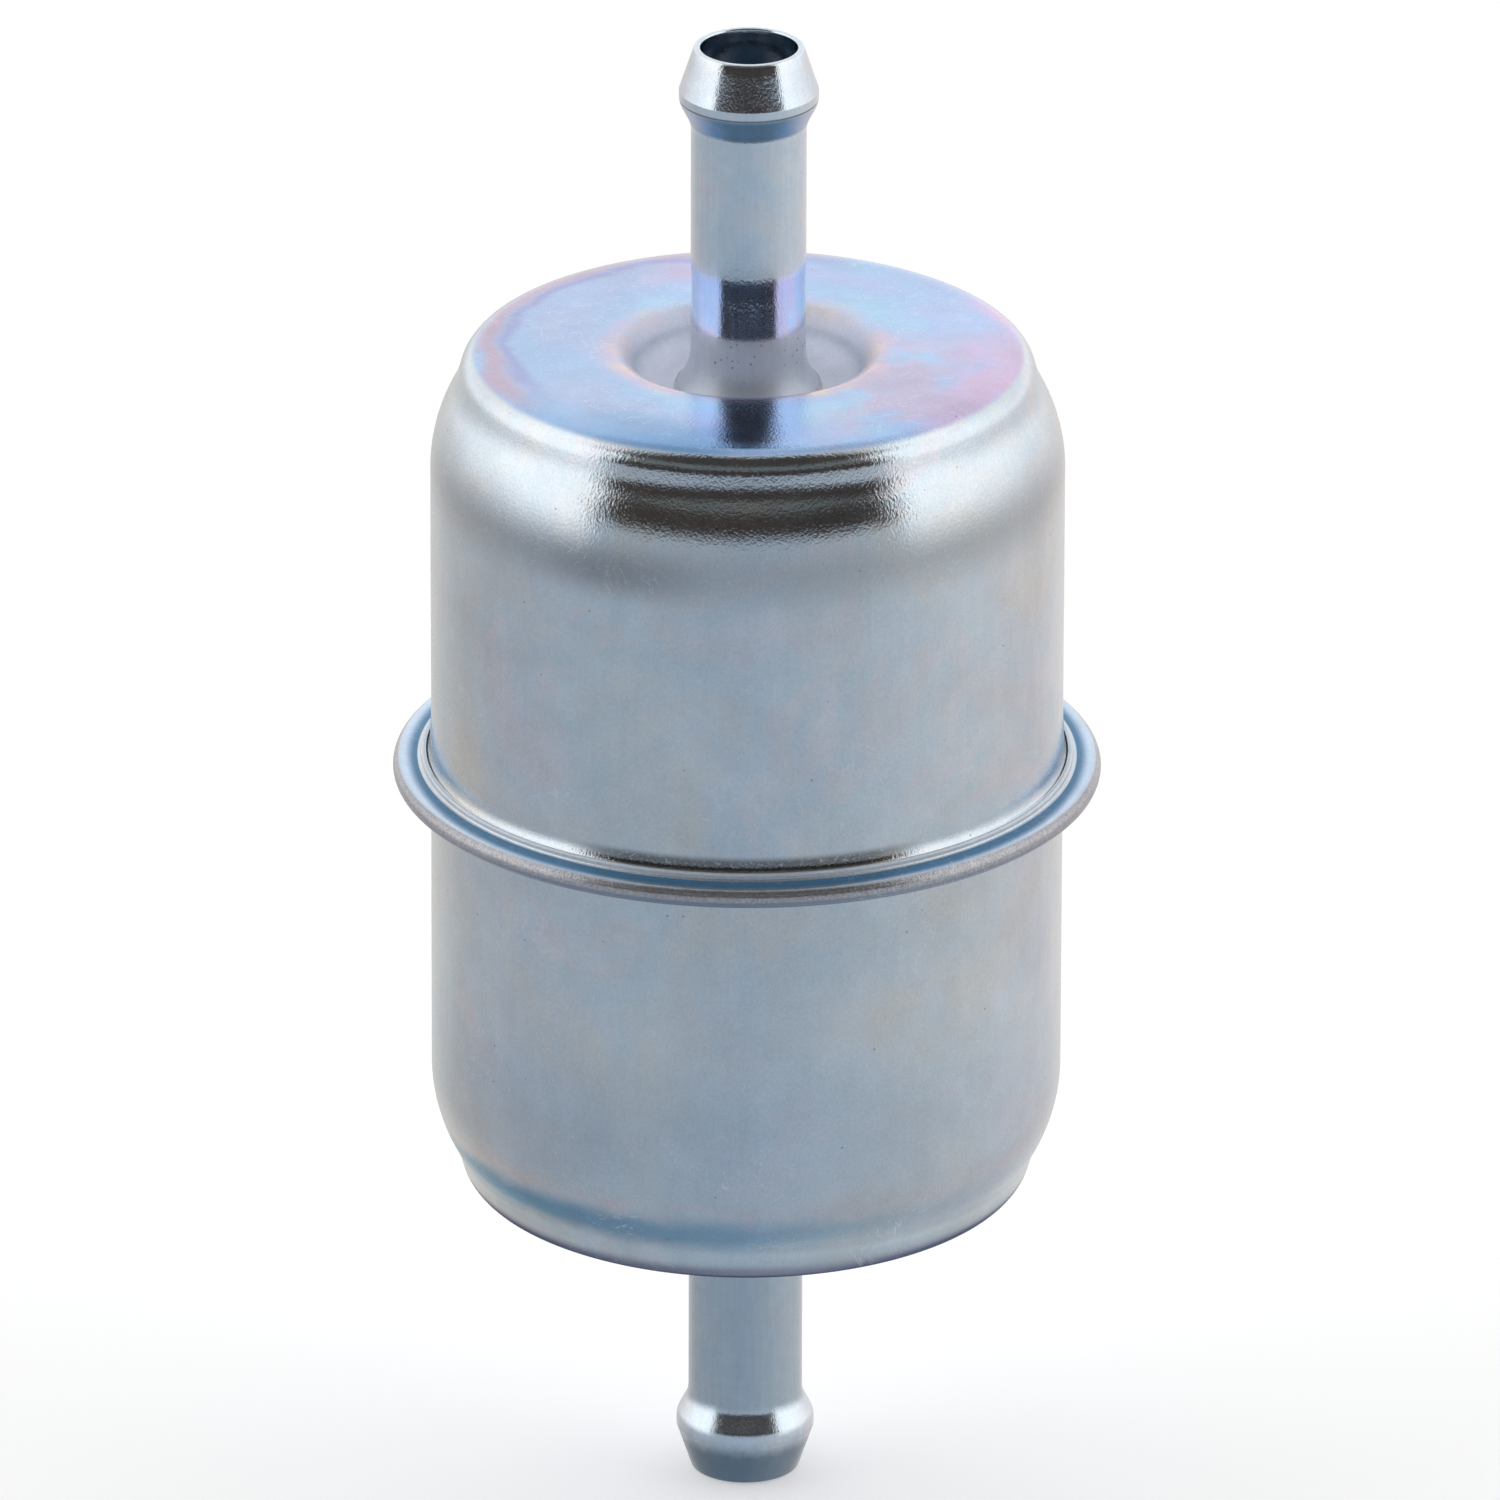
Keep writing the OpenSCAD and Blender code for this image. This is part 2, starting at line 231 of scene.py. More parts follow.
def outlet_shell_outline():
    """Lower half can, drawn upside down; its flange is curled over the upper can's flange."""
    lip_r = ROLL_CR - BEAD_FLAT - LIP_SET
    lip_angle = math.degrees(math.asin((SEAM_CZ - LIP_TOP) / (SEAM_BEND - LIP_GAP)))
    flange_c = (CAN_R + FLANGE_BEND, BEAD_HALF + FLANGE_BEND)
    return (
        end_skin(0)[::-1]
        + arc(*flange_c, FLANGE_BEND, 180, 270)
        + arc(ROLL_CR, 0, BEAD_HALF, 90, -90, 7.5)
        + arc(lip_r + LIP_FOOT, -BEAD_HALF - LIP_FOOT, LIP_FOOT, 90, 172, 15)
        + arc(lip_r - LIP_ROUND, -LIP_TOP + LIP_ROUND, LIP_ROUND, 5, -140, 15)
        + arc(SEAM_CR, -SEAM_CZ, SEAM_BEND - LIP_GAP, 180 - lip_angle, 180 - flange_angle(0))
        + arc(ROLL_CR, 0, SHEET / 2, -90, 90, 10)
        + arc(*flange_c, FLANGE_BEND + SHEET, 270, 180)
        + end_skin(SHEET)
    )


def waist_outline():
    """The slight hollow that was turned in the tube just above its flare."""
    start, deepest, end = WAIST_Z
    points = []
    for step in range(1, 13):
        share = step / 12
        points.append((TUBE_R - WAIST * (1 - cos(180 * share)) / 2, start + (deepest - start) * share))
    for step in range(1, 9):
        share = step / 8
        points.append((TUBE_R - WAIST * (1 + cos(180 * share)) / 2, deepest + (end - deepest) * share))
    return points


def nipple_outline():
    """Barbed tube with a flared foot."""
    rise = math.sqrt(FOOT_FLARE ** 2 - (TUBE_R + FOOT_FLARE - FOOT_R) ** 2)
    flare_start = 180 + math.degrees(math.asin(rise / FOOT_FLARE))
    round_cr = BARB_R - BARB_ROUND
    hollow_cr = TUBE_R + BARB_HOLLOW
    gap = (hollow_cr - round_cr) * cos(BARB_BACK) - BARB_ROUND - BARB_HOLLOW
    hollow_cz = BARB_Z - BARB_LAND / 2 + gap / sin(BARB_BACK)
    nose_cr = BARB_R - BARB_NOSE
    nose_z = BARB_Z + BARB_LAND / 2
    swell = BARB_SWELL - BARB_NOSE
    return (
        [(PASSAGE_R, INNER_END_Z), (INNER_TUBE_R, INNER_END_Z)]
        + [(INNER_TUBE_R, FLOOR_Z), (FOOT_R, FLOOR_Z)]
        + arc(TUBE_R + FOOT_FLARE, FLOOR_Z + FOOT_EDGE + rise, FOOT_FLARE, flare_start, 180)
        + waist_outline()
        + arc(hollow_cr, hollow_cz, BARB_HOLLOW, 180, 180 - BARB_BACK)
        + arc(round_cr, BARB_Z - BARB_LAND / 2, BARB_ROUND, -BARB_BACK, 0, 3)
        + arc(nose_cr, nose_z, BARB_NOSE, 0, BARB_EDGE, 3)
        + arc(
            nose_cr - swell * cos(BARB_EDGE), nose_z - swell * sin(BARB_EDGE),
            BARB_SWELL, BARB_EDGE, BARB_FLANK, 2,
        )
        + arc(TIP_R - TIP_ROUND, TIP_Z - TIP_ROUND, TIP_ROUND, BARB_FLANK, 90, 12)
        + arc(PASSAGE_R + MOUTH_BEVEL, TIP_Z - MOUTH_BEVEL, MOUTH_BEVEL, 90, 180, 30)
    )


def braze_outline():
    """Hollow fillet of braze around the foot, which stands on the dimple floor."""
    return [
        (FOOT_R - BRAZE_SINK, FLOOR_Z),
        *arc(FOOT_R + BRAZE_W, BRAZE_TOP_Z, BRAZE_W, 270, 196, 12),
        (FOOT_R - BRAZE_SINK, BRAZE_TOP_Z),
    ]


def rounded(*corners):
    """The closed outline through (r, z, radius) corners, each rounded off with about that radius."""
    points = []
    for i, (r, z, radius) in enumerate(corners):
        corner = Vector((r, z))
        if radius == 0:
            points.append((r, z))
            continue
        before = (Vector(corners[i - 1][:2]) - corner).normalized() * radius
        after = (Vector(corners[(i + 1) % len(corners)][:2]) - corner).normalized() * radius
        for t in (0, 0.14, 0.32, 0.5, 0.68, 0.86, 1):
            spot = corner + before * (1 - t) ** 2 + after * t ** 2
            points.append((spot.x, spot.y))
    return points


def cap_outline(face_z, rim_z, hole_r):
    """A pressed end cap whose rim turns from face_z towards rim_z."""
    inner_z = face_z + math.copysign(CAP_SHEET, rim_z - face_z)
    return rounded(
        (hole_r, face_z, 0),
        (CAP_R, face_z, CAP_BEND),
        (CAP_R, rim_z, CAP_EDGE),
        (CAP_R - CAP_SHEET, rim_z, CAP_EDGE),
        (CAP_R - CAP_SHEET, inner_z, CAP_BEND - CAP_SHEET),
        (hole_r, inner_z, 0),
    )


def adhesive_outline(face_z, open_z):
    """Adhesive poured on the cap at face_z; it creeps up both walls as far as open_z."""
    level_z = open_z - math.copysign(MENISCUS, open_z - face_z)
    return rounded(
        (ADHESIVE_IN_R, face_z, 0),
        (CAP_R - CAP_SHEET, face_z, CAP_BEND - CAP_SHEET),
        (CAP_R - CAP_SHEET, open_z, 0),
        (CAP_R - CAP_SHEET - MENISCUS_W, level_z, MENISCUS_BEND),
        (ADHESIVE_IN_R + MENISCUS_W, level_z, MENISCUS_BEND),
        (ADHESIVE_IN_R, open_z, 0),
    )


def seal_outline():
    """Grommet with a groove for the open cap's hole."""
    foot_z = low("outlet_seal").z
    cap_low = low("open_end_cap").z
    cap_high = low("open_cap_adhesive").z
    top_z = high("outlet_seal").z
    return rounded(
        (SEAL_BORE_R, foot_z, 0.25),
        (SEAL_R, foot_z, 0.35),
        (SEAL_R, cap_low, 0.15),
        (CAP_HOLE_R, cap_low, 0),
        (CAP_HOLE_R, cap_high, 0),
        (SEAL_NECK_R, cap_high, 0.15),
        (SEAL_NECK_R, top_z, 0.35),
        (SEAL_BORE_R, top_z, 0.25),
    )


# ---------------------------------------------------------------- mesh building

def split_long(points, longest):
    """The closed outline with extra points on stretches longer than longest."""
    result = []
    for start, end in zip(points, points[1:] + points[:1]):
        count = max(1, math.ceil(math.dist(start, end) / longest))
        result += [
            (start[0] + (end[0] - start[0]) * i / count, start[1] + (end[1] - start[1]) * i / count)
            for i in range(count)
        ]
    return result


def tidy(points, closest=0.004):
    """The outline without repeated points."""
    kept = [points[0]]
    for point in points[1:]:
        if math.dist(point, kept[-1]) > closest:
            kept.append(point)
    if math.dist(kept[0], kept[-1]) <= closest:
        kept.pop()
    return kept


def new_object(name, verts, faces, sharp_over=32, weld=False):
    """A smooth-shaded mesh object in metres, with edges sharp where faces meet at a large angle."""
    mesh = bpy.data.meshes.new(name)
    mesh.from_pydata([tuple(v) for v in verts], [], [tuple(f) for f in faces])
    bm = bmesh.new()
    bm.from_mesh(mesh)
    if weld:
        bmesh.ops.remove_doubles(bm, verts=bm.verts, dist=1e-7)
        bmesh.ops.delete(bm, geom=[edge for edge in bm.edges if edge.is_wire], context="EDGES")
    bmesh.ops.recalc_face_normals(bm, faces=bm.faces)
    bm.to_mesh(mesh)
    bm.free()
    mesh.polygons.foreach_set("use_smooth", [True] * len(mesh.polygons))
    mesh.set_sharp_from_angle(angle=math.radians(sharp_over))
    piece = bpy.data.objects.new(name, mesh)
    bpy.context.scene.collection.objects.link(piece)
    return piece


def turned(name, outline, side=UP, segments=288, longest=1.5, shape=None):
    """A closed outline turned about Z.

    shape(z, azimuth), where given, is how far each point moves outward.
    """
    points = split_long(tidy(outline), longest)
    rings = len(points)
    verts = np.zeros((segments, rings, 3))
    for k in range(segments):
        azimuth = TURN * k / segments
        for i, (r, z) in enumerate(points):
            z = side * z
            far = r + shape(z, azimuth) if shape else r
            verts[k, i] = (far * math.cos(azimuth), far * math.sin(azimuth), z)
    faces = [
        (k * rings + i, next_k * rings + i, next_k * rings + next_i, k * rings + next_i)
        for k, next_k in ((k, (k + 1) % segments) for k in range(segments))
        for i, next_i in ((i, (i + 1) % rings) for i in range(rings))
    ]
    return new_object(name, verts.reshape(-1, 3) * MM, faces, weld=min(r for r, z in points) == 0)


def half_turn(fold_r, fold_at, turn_r, start, direction, z):
    """Points half way round a fold, whose centre is fold_r from the axis at angle fold_at."""
    turns = [start + direction * 180 * step / FOLD_STEPS for step in range(FOLD_STEPS + 1)]
    return [
        (fold_r * cos(fold_at) + turn_r * cos(turn), fold_r * sin(fold_at) + turn_r * sin(turn), z)
        for turn in turns
    ]


def fold_ring(z, side):
    """One face of the pleated paper at height z: the outer face for side 1, the inner for -1."""
    bend = FOLD_HALF - PAPER / 2
    skin = side * PAPER / 2
    ring = []
    for i in range(PLEATS):
        sway = 0 if i == 0 else SWAY_DEGREES * noise.noise(Vector((i * 1.7, z * 0.12, 4.2)))
        outer_at = 360 * i / PLEATS + sway
        inner_at = 360 * (i + 0.5) / PLEATS
        ring += half_turn(PLEATS_R - FOLD_HALF, outer_at, bend + skin, outer_at - 90, 1, z)
        ring += half_turn(PLEATS_IN_R + FOLD_HALF, inner_at, bend - skin, inner_at - 90, -1, z)
    return ring


def folded_paper(name, levels=16):
    """The pleated band of paper, closed at both ends by its own thickness."""
    start = low("filter_pleats").z
    end = high("filter_pleats").z
    verts = []
    for level in range(levels + 1):
        z = start + (end - start) * level / levels
        verts += fold_ring(z, 1) + fold_ring(z, -1)
    count = len(verts) // (levels + 1) // 2
    faces = []
    for i in range(count):
        j = (i + 1) % count
        for level in range(levels):
            here = 2 * count * level
            above = here + 2 * count
            faces.append((here + i, here + j, above + j, above + i))
            faces.append((here + count + j, here + count + i, above + count + i, above + count + j))
        top = 2 * count * levels
        faces.append((i, i + count, j + count, j))
        faces.append((top + i, top + j, top + j + count, top + i + count))
    return new_object(name, np.array(verts) * MM, faces, sharp_over=50)


def coil(name, sides=16, steps=48):
    """Round wire wound between the spring's end faces, flattest at its end turns."""
    start = low("element_spring").z + WIRE_R
    end = high("element_spring").z - WIRE_R
    rings = COIL_TURNS * steps
    verts = []
    for i in range(rings + 1):
        share = i / rings
        angle = 360 * i / steps
        middle_z = start + (end - start) * (share - COIL_FLAT * sin(360 * share) / TURN)
        for k in range(sides):
            around = 360 * k / sides
            r = COIL_R + WIRE_R * cos(around)
            verts.append((r * cos(angle), r * sin(angle), middle_z + WIRE_R * sin(around)))
    faces = []
    for ring in range(0, rings * sides, sides):
        for k in range(sides):
            after = (k + 1) % sides
            faces.append((ring + k, ring + after, ring + sides + after, ring + sides + k))
    faces.append(tuple(range(sides))[::-1])
    faces.append(tuple(rings * sides + k for k in range(sides)))
    return new_object(name, np.array(verts) * MM, faces)


def ripple(azimuth, z, around, along, seed):
    """Smooth noise from about -1 to 1 that closes up around the axis."""
    spot = Vector((math.cos(azimuth) * around, math.sin(azimuth) * around, z * along + seed))
    return noise.noise(spot)


# ---------------------------------------------------------------- node arithmetic

class Field:
    """A shader value that ordinary arithmetic works on."""

    def __init__(self, tree, socket):
        self.tree = tree
        self.socket = socket

    def math(self, operation, *others):
        node = self.tree.nodes.new("ShaderNodeMath")
        node.operation = operation
        for slot, value in zip(node.inputs, (self, *others)):
            connect(self.tree, slot, value)
        return Field(self.tree, node.outputs[0])

    def __add__(self, other):
        return self.math("ADD", other)

    def __sub__(self, other):
        return self.math("SUBTRACT", other)

    def __mul__(self, other):
        return self.math("MULTIPLY", other)

    def __truediv__(self, other):
        return self.math("DIVIDE", other)

    def power(self, exponent):
        return self.math("POWER", exponent)

    def size(self):
        return self.math("ABSOLUTE")

    def flipped(self):
        """One minus this value."""
        node = self.tree.nodes.new("ShaderNodeMath")
        node.operation = "SUBTRACT"
        node.inputs[0].default_value = 1
        connect(self.tree, node.inputs[1], self)
        return Field(self.tree, node.outputs[0])

    def step(self, start, end):
        """0 below start and 1 above end, with a smooth rise between them."""
        if start > end:
            return self.step(end, start).flipped()
        node = self.tree.nodes.new("ShaderNodeMapRange")
        node.interpolation_type = "SMOOTHSTEP"
        connect(self.tree, node.inputs["Value"], self)
        node.inputs["From Min"].default_value = start
        node.inputs["From Max"].default_value = end
        return Field(self.tree, node.outputs["Result"])

    def band(self, start, end, soft, end_soft=None):
        """1 between start and end, 0 outside, with soft edges; end_soft is for an end that differs."""
        end_soft = end_soft or soft
        return self.step(start - soft, start + soft) * self.step(end + end_soft, end - end_soft)

    def ramp(self, *stops):
        """A colour for each value from 0 to 1; stops are (position, (r, g, b))."""
        node = self.tree.nodes.new("ShaderNodeValToRGB")
        elements = node.color_ramp.elements
        while len(elements) < len(stops):
            elements.new(0.5)
        for element, (position, color) in zip(elements, stops):
            element.position = position
            element.color = (*color, 1)
        connect(self.tree, node.inputs["Fac"], self)
        return Field(self.tree, node.outputs["Color"])

    def mixed(self, other, share, blend="MIX"):
        """This colour with that share of another over it."""
        node = self.tree.nodes.new("ShaderNodeMix")
        node.data_type = "RGBA"
        node.blend_type = blend
        connect(self.tree, node.inputs["Factor"], share)
        connect(self.tree, node.inputs[6], self)
        connect(self.tree, node.inputs[7], other)
        return Field(self.tree, node.outputs[2])

    def shaded(self, tone):
        """This colour times a grey tone."""
        node = self.tree.nodes.new("ShaderNodeCombineXYZ")
        for slot in node.inputs:
            connect(self.tree, slot, tone)
        return self.mixed(Field(self.tree, node.outputs[0]), 1.0, "MULTIPLY")


def connect(tree, slot, value):
    """Links a Field into a node's input, or sets a plain value there."""
    if isinstance(value, Field):
        tree.links.new(value.socket, slot)
    elif isinstance(value, (tuple, list)) and len(value) == 3 and len(slot.default_value) == 4:
        slot.default_value = (*value, 1)
    else:
        slot.default_value = value


class Surface:
    """Builds one node material on a Principled shader, from where a point is on the object in mm."""

    def __init__(self, name):
        self.material = bpy.data.materials.new(name)
        self.material.use_nodes = True
        self.tree = self.material.node_tree
        self.shader = self.tree.nodes["Principled BSDF"]
        place = self.tree.nodes.new("ShaderNodeTexCoord")
        self.spot = self.scaled(Field(self.tree, place.outputs["Object"]), 1 / MM)
        split = self.tree.nodes.new("ShaderNodeSeparateXYZ")
        connect(self.tree, split.inputs[0], self.spot)
        self.x, self.y, self.z = (Field(self.tree, out) for out in split.outputs)
        self.radius = (self.x * self.x + self.y * self.y).power(0.5)
        self.azimuth = self.y.math("ARCTAN2", self.x)

    def scaled(self, vector, factor):
        node = self.tree.nodes.new("ShaderNodeVectorMath")
        node.operation = "MULTIPLY"
        connect(self.tree, node.inputs[0], vector)
        node.inputs[1].default_value = factor if isinstance(factor, tuple) else (factor,) * 3
        return Field(self.tree, node.outputs["Vector"])

    def vector(self, x, y, z):
        node = self.tree.nodes.new("ShaderNodeCombineXYZ")
        for slot, value in zip(node.inputs, (x, y, z)):
            connect(self.tree, slot, value)
        return Field(self.tree, node.outputs[0])

    def noise(self, scale, detail=3, roughness=0.55, distortion=0, stretch=(1, 1, 1), shift=0, at=None):
        """Cloudy noise from 0 to 1; scale is in waves per mm along an axis whose stretch is 1."""
        place = self.scaled(at or self.spot, stretch)
        if shift:
            move = self.tree.nodes.new("ShaderNodeVectorMath")
            move.operation = "ADD"
            connect(self.tree, move.inputs[0], place)
            move.inputs[1].default_value = (shift, shift * 0.7, shift * 1.3)
            place = Field(self.tree, move.outputs["Vector"])
        node = self.tree.nodes.new("ShaderNodeTexNoise")
        connect(self.tree, node.inputs["Vector"], place)
        node.inputs["Scale"].default_value = scale
        node.inputs["Detail"].default_value = detail
        node.inputs["Roughness"].default_value = roughness
        node.inputs["Distortion"].default_value = distortion
        return Field(self.tree, node.outputs["Fac"])

    def dots(self, scale, size, share, stretch=(1, 1, 1)):
        """1 inside small round marks, which are scattered over that share of the cells."""
        node = self.tree.nodes.new("ShaderNodeTexVoronoi")
        connect(self.tree, node.inputs["Vector"], self.scaled(self.spot, stretch))
        node.inputs["Scale"].default_value = scale
        distance = Field(self.tree, node.outputs["Distance"])
        split = self.tree.nodes.new("ShaderNodeSeparateColor")
        self.tree.links.new(node.outputs["Color"], split.inputs[0])
        chosen = Field(self.tree, split.outputs["Red"]).step(share + 0.01, share)
        return distance.step(size, size * 0.5) * chosen

    def scratches(self, scale, stretch, shift):
        """1 on thin wandering lines."""
        line = self.noise(scale, detail=4, roughness=0.6, distortion=2.2, stretch=stretch, shift=shift)
        patch = self.noise(0.12, detail=1, shift=shift + 40).step(0.50, 0.62)
        return (line - 0.5).size().step(0.007, 0.002) * patch

    def bump(self, height, depth_mm, below=None):
        """A normal bent by a height field; depth_mm is how far 0 is from 1."""
        node = self.tree.nodes.new("ShaderNodeBump")
        node.inputs["Distance"].default_value = depth_mm * MM
        connect(self.tree, node.inputs["Height"], height)
        if below:
            connect(self.tree, node.inputs["Normal"], below)
        return Field(self.tree, node.outputs["Normal"])

    def finish(self, **values):
        for name, value in values.items():
            slot = self.shader.inputs[name.replace("_", " ")]
            connect(self.tree, slot, value)
        return self.material


# ---------------------------------------------------------------- materials

# Colours of the plated can, in linear RGB
DIMPLE_ZINC = (0.72, 0.76, 0.88)
LIP_ZINC = (0.84, 0.89, 0.96)
ROLL_SHADE = (0.22, 0.27, 0.36)
CREASE_PAINTED_REFLECTION = (0.10, 0.09, 0.09)
GROOVE_BLUE = (0.58, 0.72, 0.90)
GROOVE_DEEP_BLUE_AND_SHADE = (0.05, 0.24, 0.46)
SHOULDER_GREY = (0.47, 0.49, 0.51)
SHOULDER_SHADE = (0.26, 0.27, 0.31)
LOWER_WALL = (0.50, 0.57, 0.65)
NECK_ROSE = (0.70, 0.58, 0.60)
NECK_SHADE = (0.40, 0.47, 0.54)
NECK_BLUE = (0.13, 0.32, 0.48)
NECK_PALE = (0.62, 0.73, 0.78)
UNDER_PAINTED_SHADE = (0.24, 0.28, 0.38)
UNDER_GLANCE_PAINTED_SHADE = (0.26, 0.28, 0.38)
RIM_VIOLET_PAINTED_SHADE = (0.18, 0.20, 0.30)
SPECK_DARK = (0.16, 0.15, 0.15)
SCRATCH_PALE = (0.85, 0.87, 0.90)
PLATE_BLUE = (0.38, 0.56, 0.80)
PLATE_ROSE = (0.57, 0.41, 0.51)
PLATE_VIOLET = (0.36, 0.34, 0.62)
PLATE_PINK = (0.60, 0.49, 0.66)
PLATE_DEEP = (0.18, 0.36, 0.62)
SCUFF_PALE = (0.84, 0.88, 0.94)

# Zones of the can: start, end and softness in mm of height (Z), of x (X), or out from the wall (OUT).
# A fourth number is the softness of the end, where that differs.
GROOVE_Z = (0.64, 0.82, 0.04)
GROOVE_OUT = (0.97, 2.30, 0.03, 0.30)
LIP_Z = (0.82, 1.30, 0.04)
LIP_OUT = (0.45, 1.18, 0.05, 0.04)
CREASE_Z = (1.24, 2.05, 0.30)
CREASE_OUT = (-0.01, 0.50, 0.03, 0.10)
ROLL_SHADE_Z = (-0.80, -0.15, 0.15)
SHOULDER_GREY_Z = (21.6, 25.0, 1.8)
SHOULDER_SHADE_Z = (21.5, 24.2, 1.2)
SHOULDER_SHADE_X = (-14, -5, 4)
LOWER_WALL_Z = (-25, -16, 4)
NECK_ROSE_Z = (-25.8, -24.6, 0.8)
NECK_BLUE_Z = (-28.4, -26.2, 0.9)
NECK_PALE_Z = (-29.5, -28.9, 0.4)

# Colours of the plated tube, in linear RGB
MIRROR_ZINC = (0.56, 0.60, 0.80)
FLARE_ZINC = (0.64, 0.69, 0.76)
BARB_VIOLET = (0.56, 0.56, 0.72)
BARB_PAINTED_REFLECTION = (0.12, 0.27, 0.42)
BARB_LINE = (0.12, 0.12, 0.14)
LOWER_TUBE_ZINC = (0.46, 0.545, 0.62)
LOWER_CONE_PAINTED_REFLECTION = (0.11, 0.17, 0.23)
LOWER_TUBE_PAINTED_SHADOW = (0.30, 0.34, 0.44)
PIT_DARK = (0.09, 0.09, 0.10)

# Zones of the tube: start, end and softness in mm of height
PITTED_Z = (30.9, 33.4, 0.8)
MIRROR_Z = (33.5, 38.0, 0.4)
DRAWN_Z = (38.3, 48.2, 0.25)
UNDER_BARB_Z = (48.6, 50.35, 0.2)
BARB_LINE_Z = (50.32, 50.44, 0.05)
LOWER_SHADOW_Z = (-37.6, -34.0, 0.4)
LOWER_TUBE_Z = (-48.6, -30.0, 0.4)
LOWER_CONE_Z = (-58.0, -50.9, 0.9)


def zinc_can():
    """Blue-white zinc plate on drawn steel, cloudy and finely grained, with coloured ends, and painted
    shade and reflections at the seam bead and under the can.
    """
    s = Surface("zinc_can")
    height = s.z.size()
    plate = height.step(CAN_TOP - 0.6, CAN_TOP - 0.3)
    dimple = s.radius.step(DIMPLE_R, DIMPLE_R - 1.5)
    dimple_lip = s.radius.band(8.5, 10.4, 0.9) * height.step(CAN_TOP - 2, CAN_TOP - 1)
    bead = bead_zones(s)
    under = s.z.step(-29.7, -30.7)
    grain = s.noise(5.5, detail=2, roughness=0.6, stretch=(1, 1, 0.8))
    streak = s.noise(1.2, detail=3, roughness=0.6, stretch=(1, 1, 0.06))
    mottle = s.noise(0.45, detail=4, roughness=0.6, stretch=(1, 1, 0.9), shift=5)
    broad = s.noise(0.06, detail=3, roughness=0.55, distortion=0.4, shift=21)
    speck = s.dots(0.9, 0.085, 0.10)
    scratch = s.scratches(0.30, (1, 1, 2.5), 13) + s.scratches(0.22, (1, 1, 0.8), 29)

    color = s.noise(0.075, detail=5, roughness=0.6, distortion=0.7).ramp(
        (0.34, (0.70, 0.705, 0.69)),
        (0.44, (0.66, 0.71, 0.755)),
        (0.52, (0.62, 0.705, 0.775)),
        (0.58, (0.69, 0.70, 0.745)),
        (0.68, (0.60, 0.69, 0.765)),
    )
    color = color.mixed(interference_colors(s), plate * dimple.flipped())
    color = color.mixed(DIMPLE_ZINC, dimple)
    color = color.mixed(lip_colors(s), dimple_lip * (s.y * -0.035 + 0.65))
    color = with_bead_colors(color, s, bead, grain)
    color = with_shoulder_colors(color, s, mottle)
    color = with_lower_end_colors(color, s, under)
    color = color.mixed(SPECK_DARK, speck * 0.7)
    color = color.mixed(SCRATCH_PALE, scratch * 0.35)
    color = color.shaded(streak * 0.08 + grain * 0.24 + mottle * 0.22 + broad * 0.42 + 0.52)

    dull = dimple * 0.40 + bead["deep"] * 0.25 + bead["all"] * 0.10 + bead["lip"] * 0.40 + under * 0.15
    nonmetal = dimple * 0.5 + bead["deep"] * 0.6 + bead["lip"] * 0.4 + bead["rolled"] * 0.25
    return s.finish(
        Base_Color=color,
        Roughness=grain * 0.06 + mottle * 0.08 + dull + 0.06,
        Normal=s.bump(grain, 0.018, s.bump(mottle, 0.016)),
        Metallic=nonmetal.flipped(),
        # Painted shade: the metal's grazing reflections turn dark slate under the can
        Specular_Tint=under.ramp((0.0, (1.0, 1.0, 1.0)), (1.0, UNDER_GLANCE_PAINTED_SHADE)),
    )


def frontness(s):
    """1 on the side towards -Y, 0 on the sides towards X, and below 0 behind."""
    return s.y / s.radius * -1


def bead_zones(s):
    """The parts of the seam bead, each 1 inside and 0 outside."""
    out = s.radius - CAN_R
    groove = s.z.band(*GROOVE_Z) * out.band(*GROOVE_OUT)
    reach = out - frontness(s).step(0.1, 0.95) * 0.65
    return {
        "all": out.step(0.4, 0.6),
        "groove": groove,
        # the groove's inner part, blue plate with painted shade, reaching further out at the front
        "deep": groove * reach.step(1.95, 1.15),
        "rolled": out.step(1.3, 1.9) * groove.flipped(),
        "lip": s.z.band(*LIP_Z) * out.band(*LIP_OUT),
        # the crease above the lip, where a dark reflection is painted at the front
        "crease": s.z.band(*CREASE_Z) * out.band(*CREASE_OUT) * frontness(s).step(0.82, 0.94),
    }


def with_bead_colors(color, s, bead, grain):
    """Adds a worn grey rolled edge with painted shade on its underside, a pale lip, a painted dark
    reflection in the crease above the lip at the front, and a blue groove darkened by painted shade.
    """
    worn = s.noise(6, detail=3, roughness=0.65, shift=33).ramp(
        (0.38, (0.35, 0.35, 0.37)),
        (0.60, (0.50, 0.50, 0.54)),
    )
    color = color.mixed(worn, bead["rolled"])
    color = color.mixed(LIP_ZINC, bead["lip"])
    # Painted shade on the underside of the rolled edge
    color = color.mixed(ROLL_SHADE, bead["rolled"] * s.z.band(*ROLL_SHADE_Z))
    # Painted reflection: the crease above the lip is darkened at the front only
    color = color.mixed(CREASE_PAINTED_REFLECTION, bead["crease"] * grain.step(0.15, 0.50) * 0.8)
    color = color.mixed(GROOVE_BLUE, bead["groove"])
    # Deep blue plate in the groove, darkened as painted shade of the valley between lip and roll, and
    # widened at the front
    return color.mixed(GROOVE_DEEP_BLUE_AND_SHADE, bead["deep"] * 0.9)


def with_shoulder_colors(color, s, mottle):
    """Adds a mottled grey band where the wall meets the upper shoulder, darkest at the front left."""
    front_left = s.x.band(*SHOULDER_SHADE_X) * frontness(s).step(0.1, 0.95)
    color = color.mixed(SHOULDER_GREY, s.z.band(*SHOULDER_GREY_Z) * (mottle * 0.7 + 0.35))
    return color.mixed(SHOULDER_SHADE, s.z.band(*SHOULDER_SHADE_Z) * front_left * 0.6)


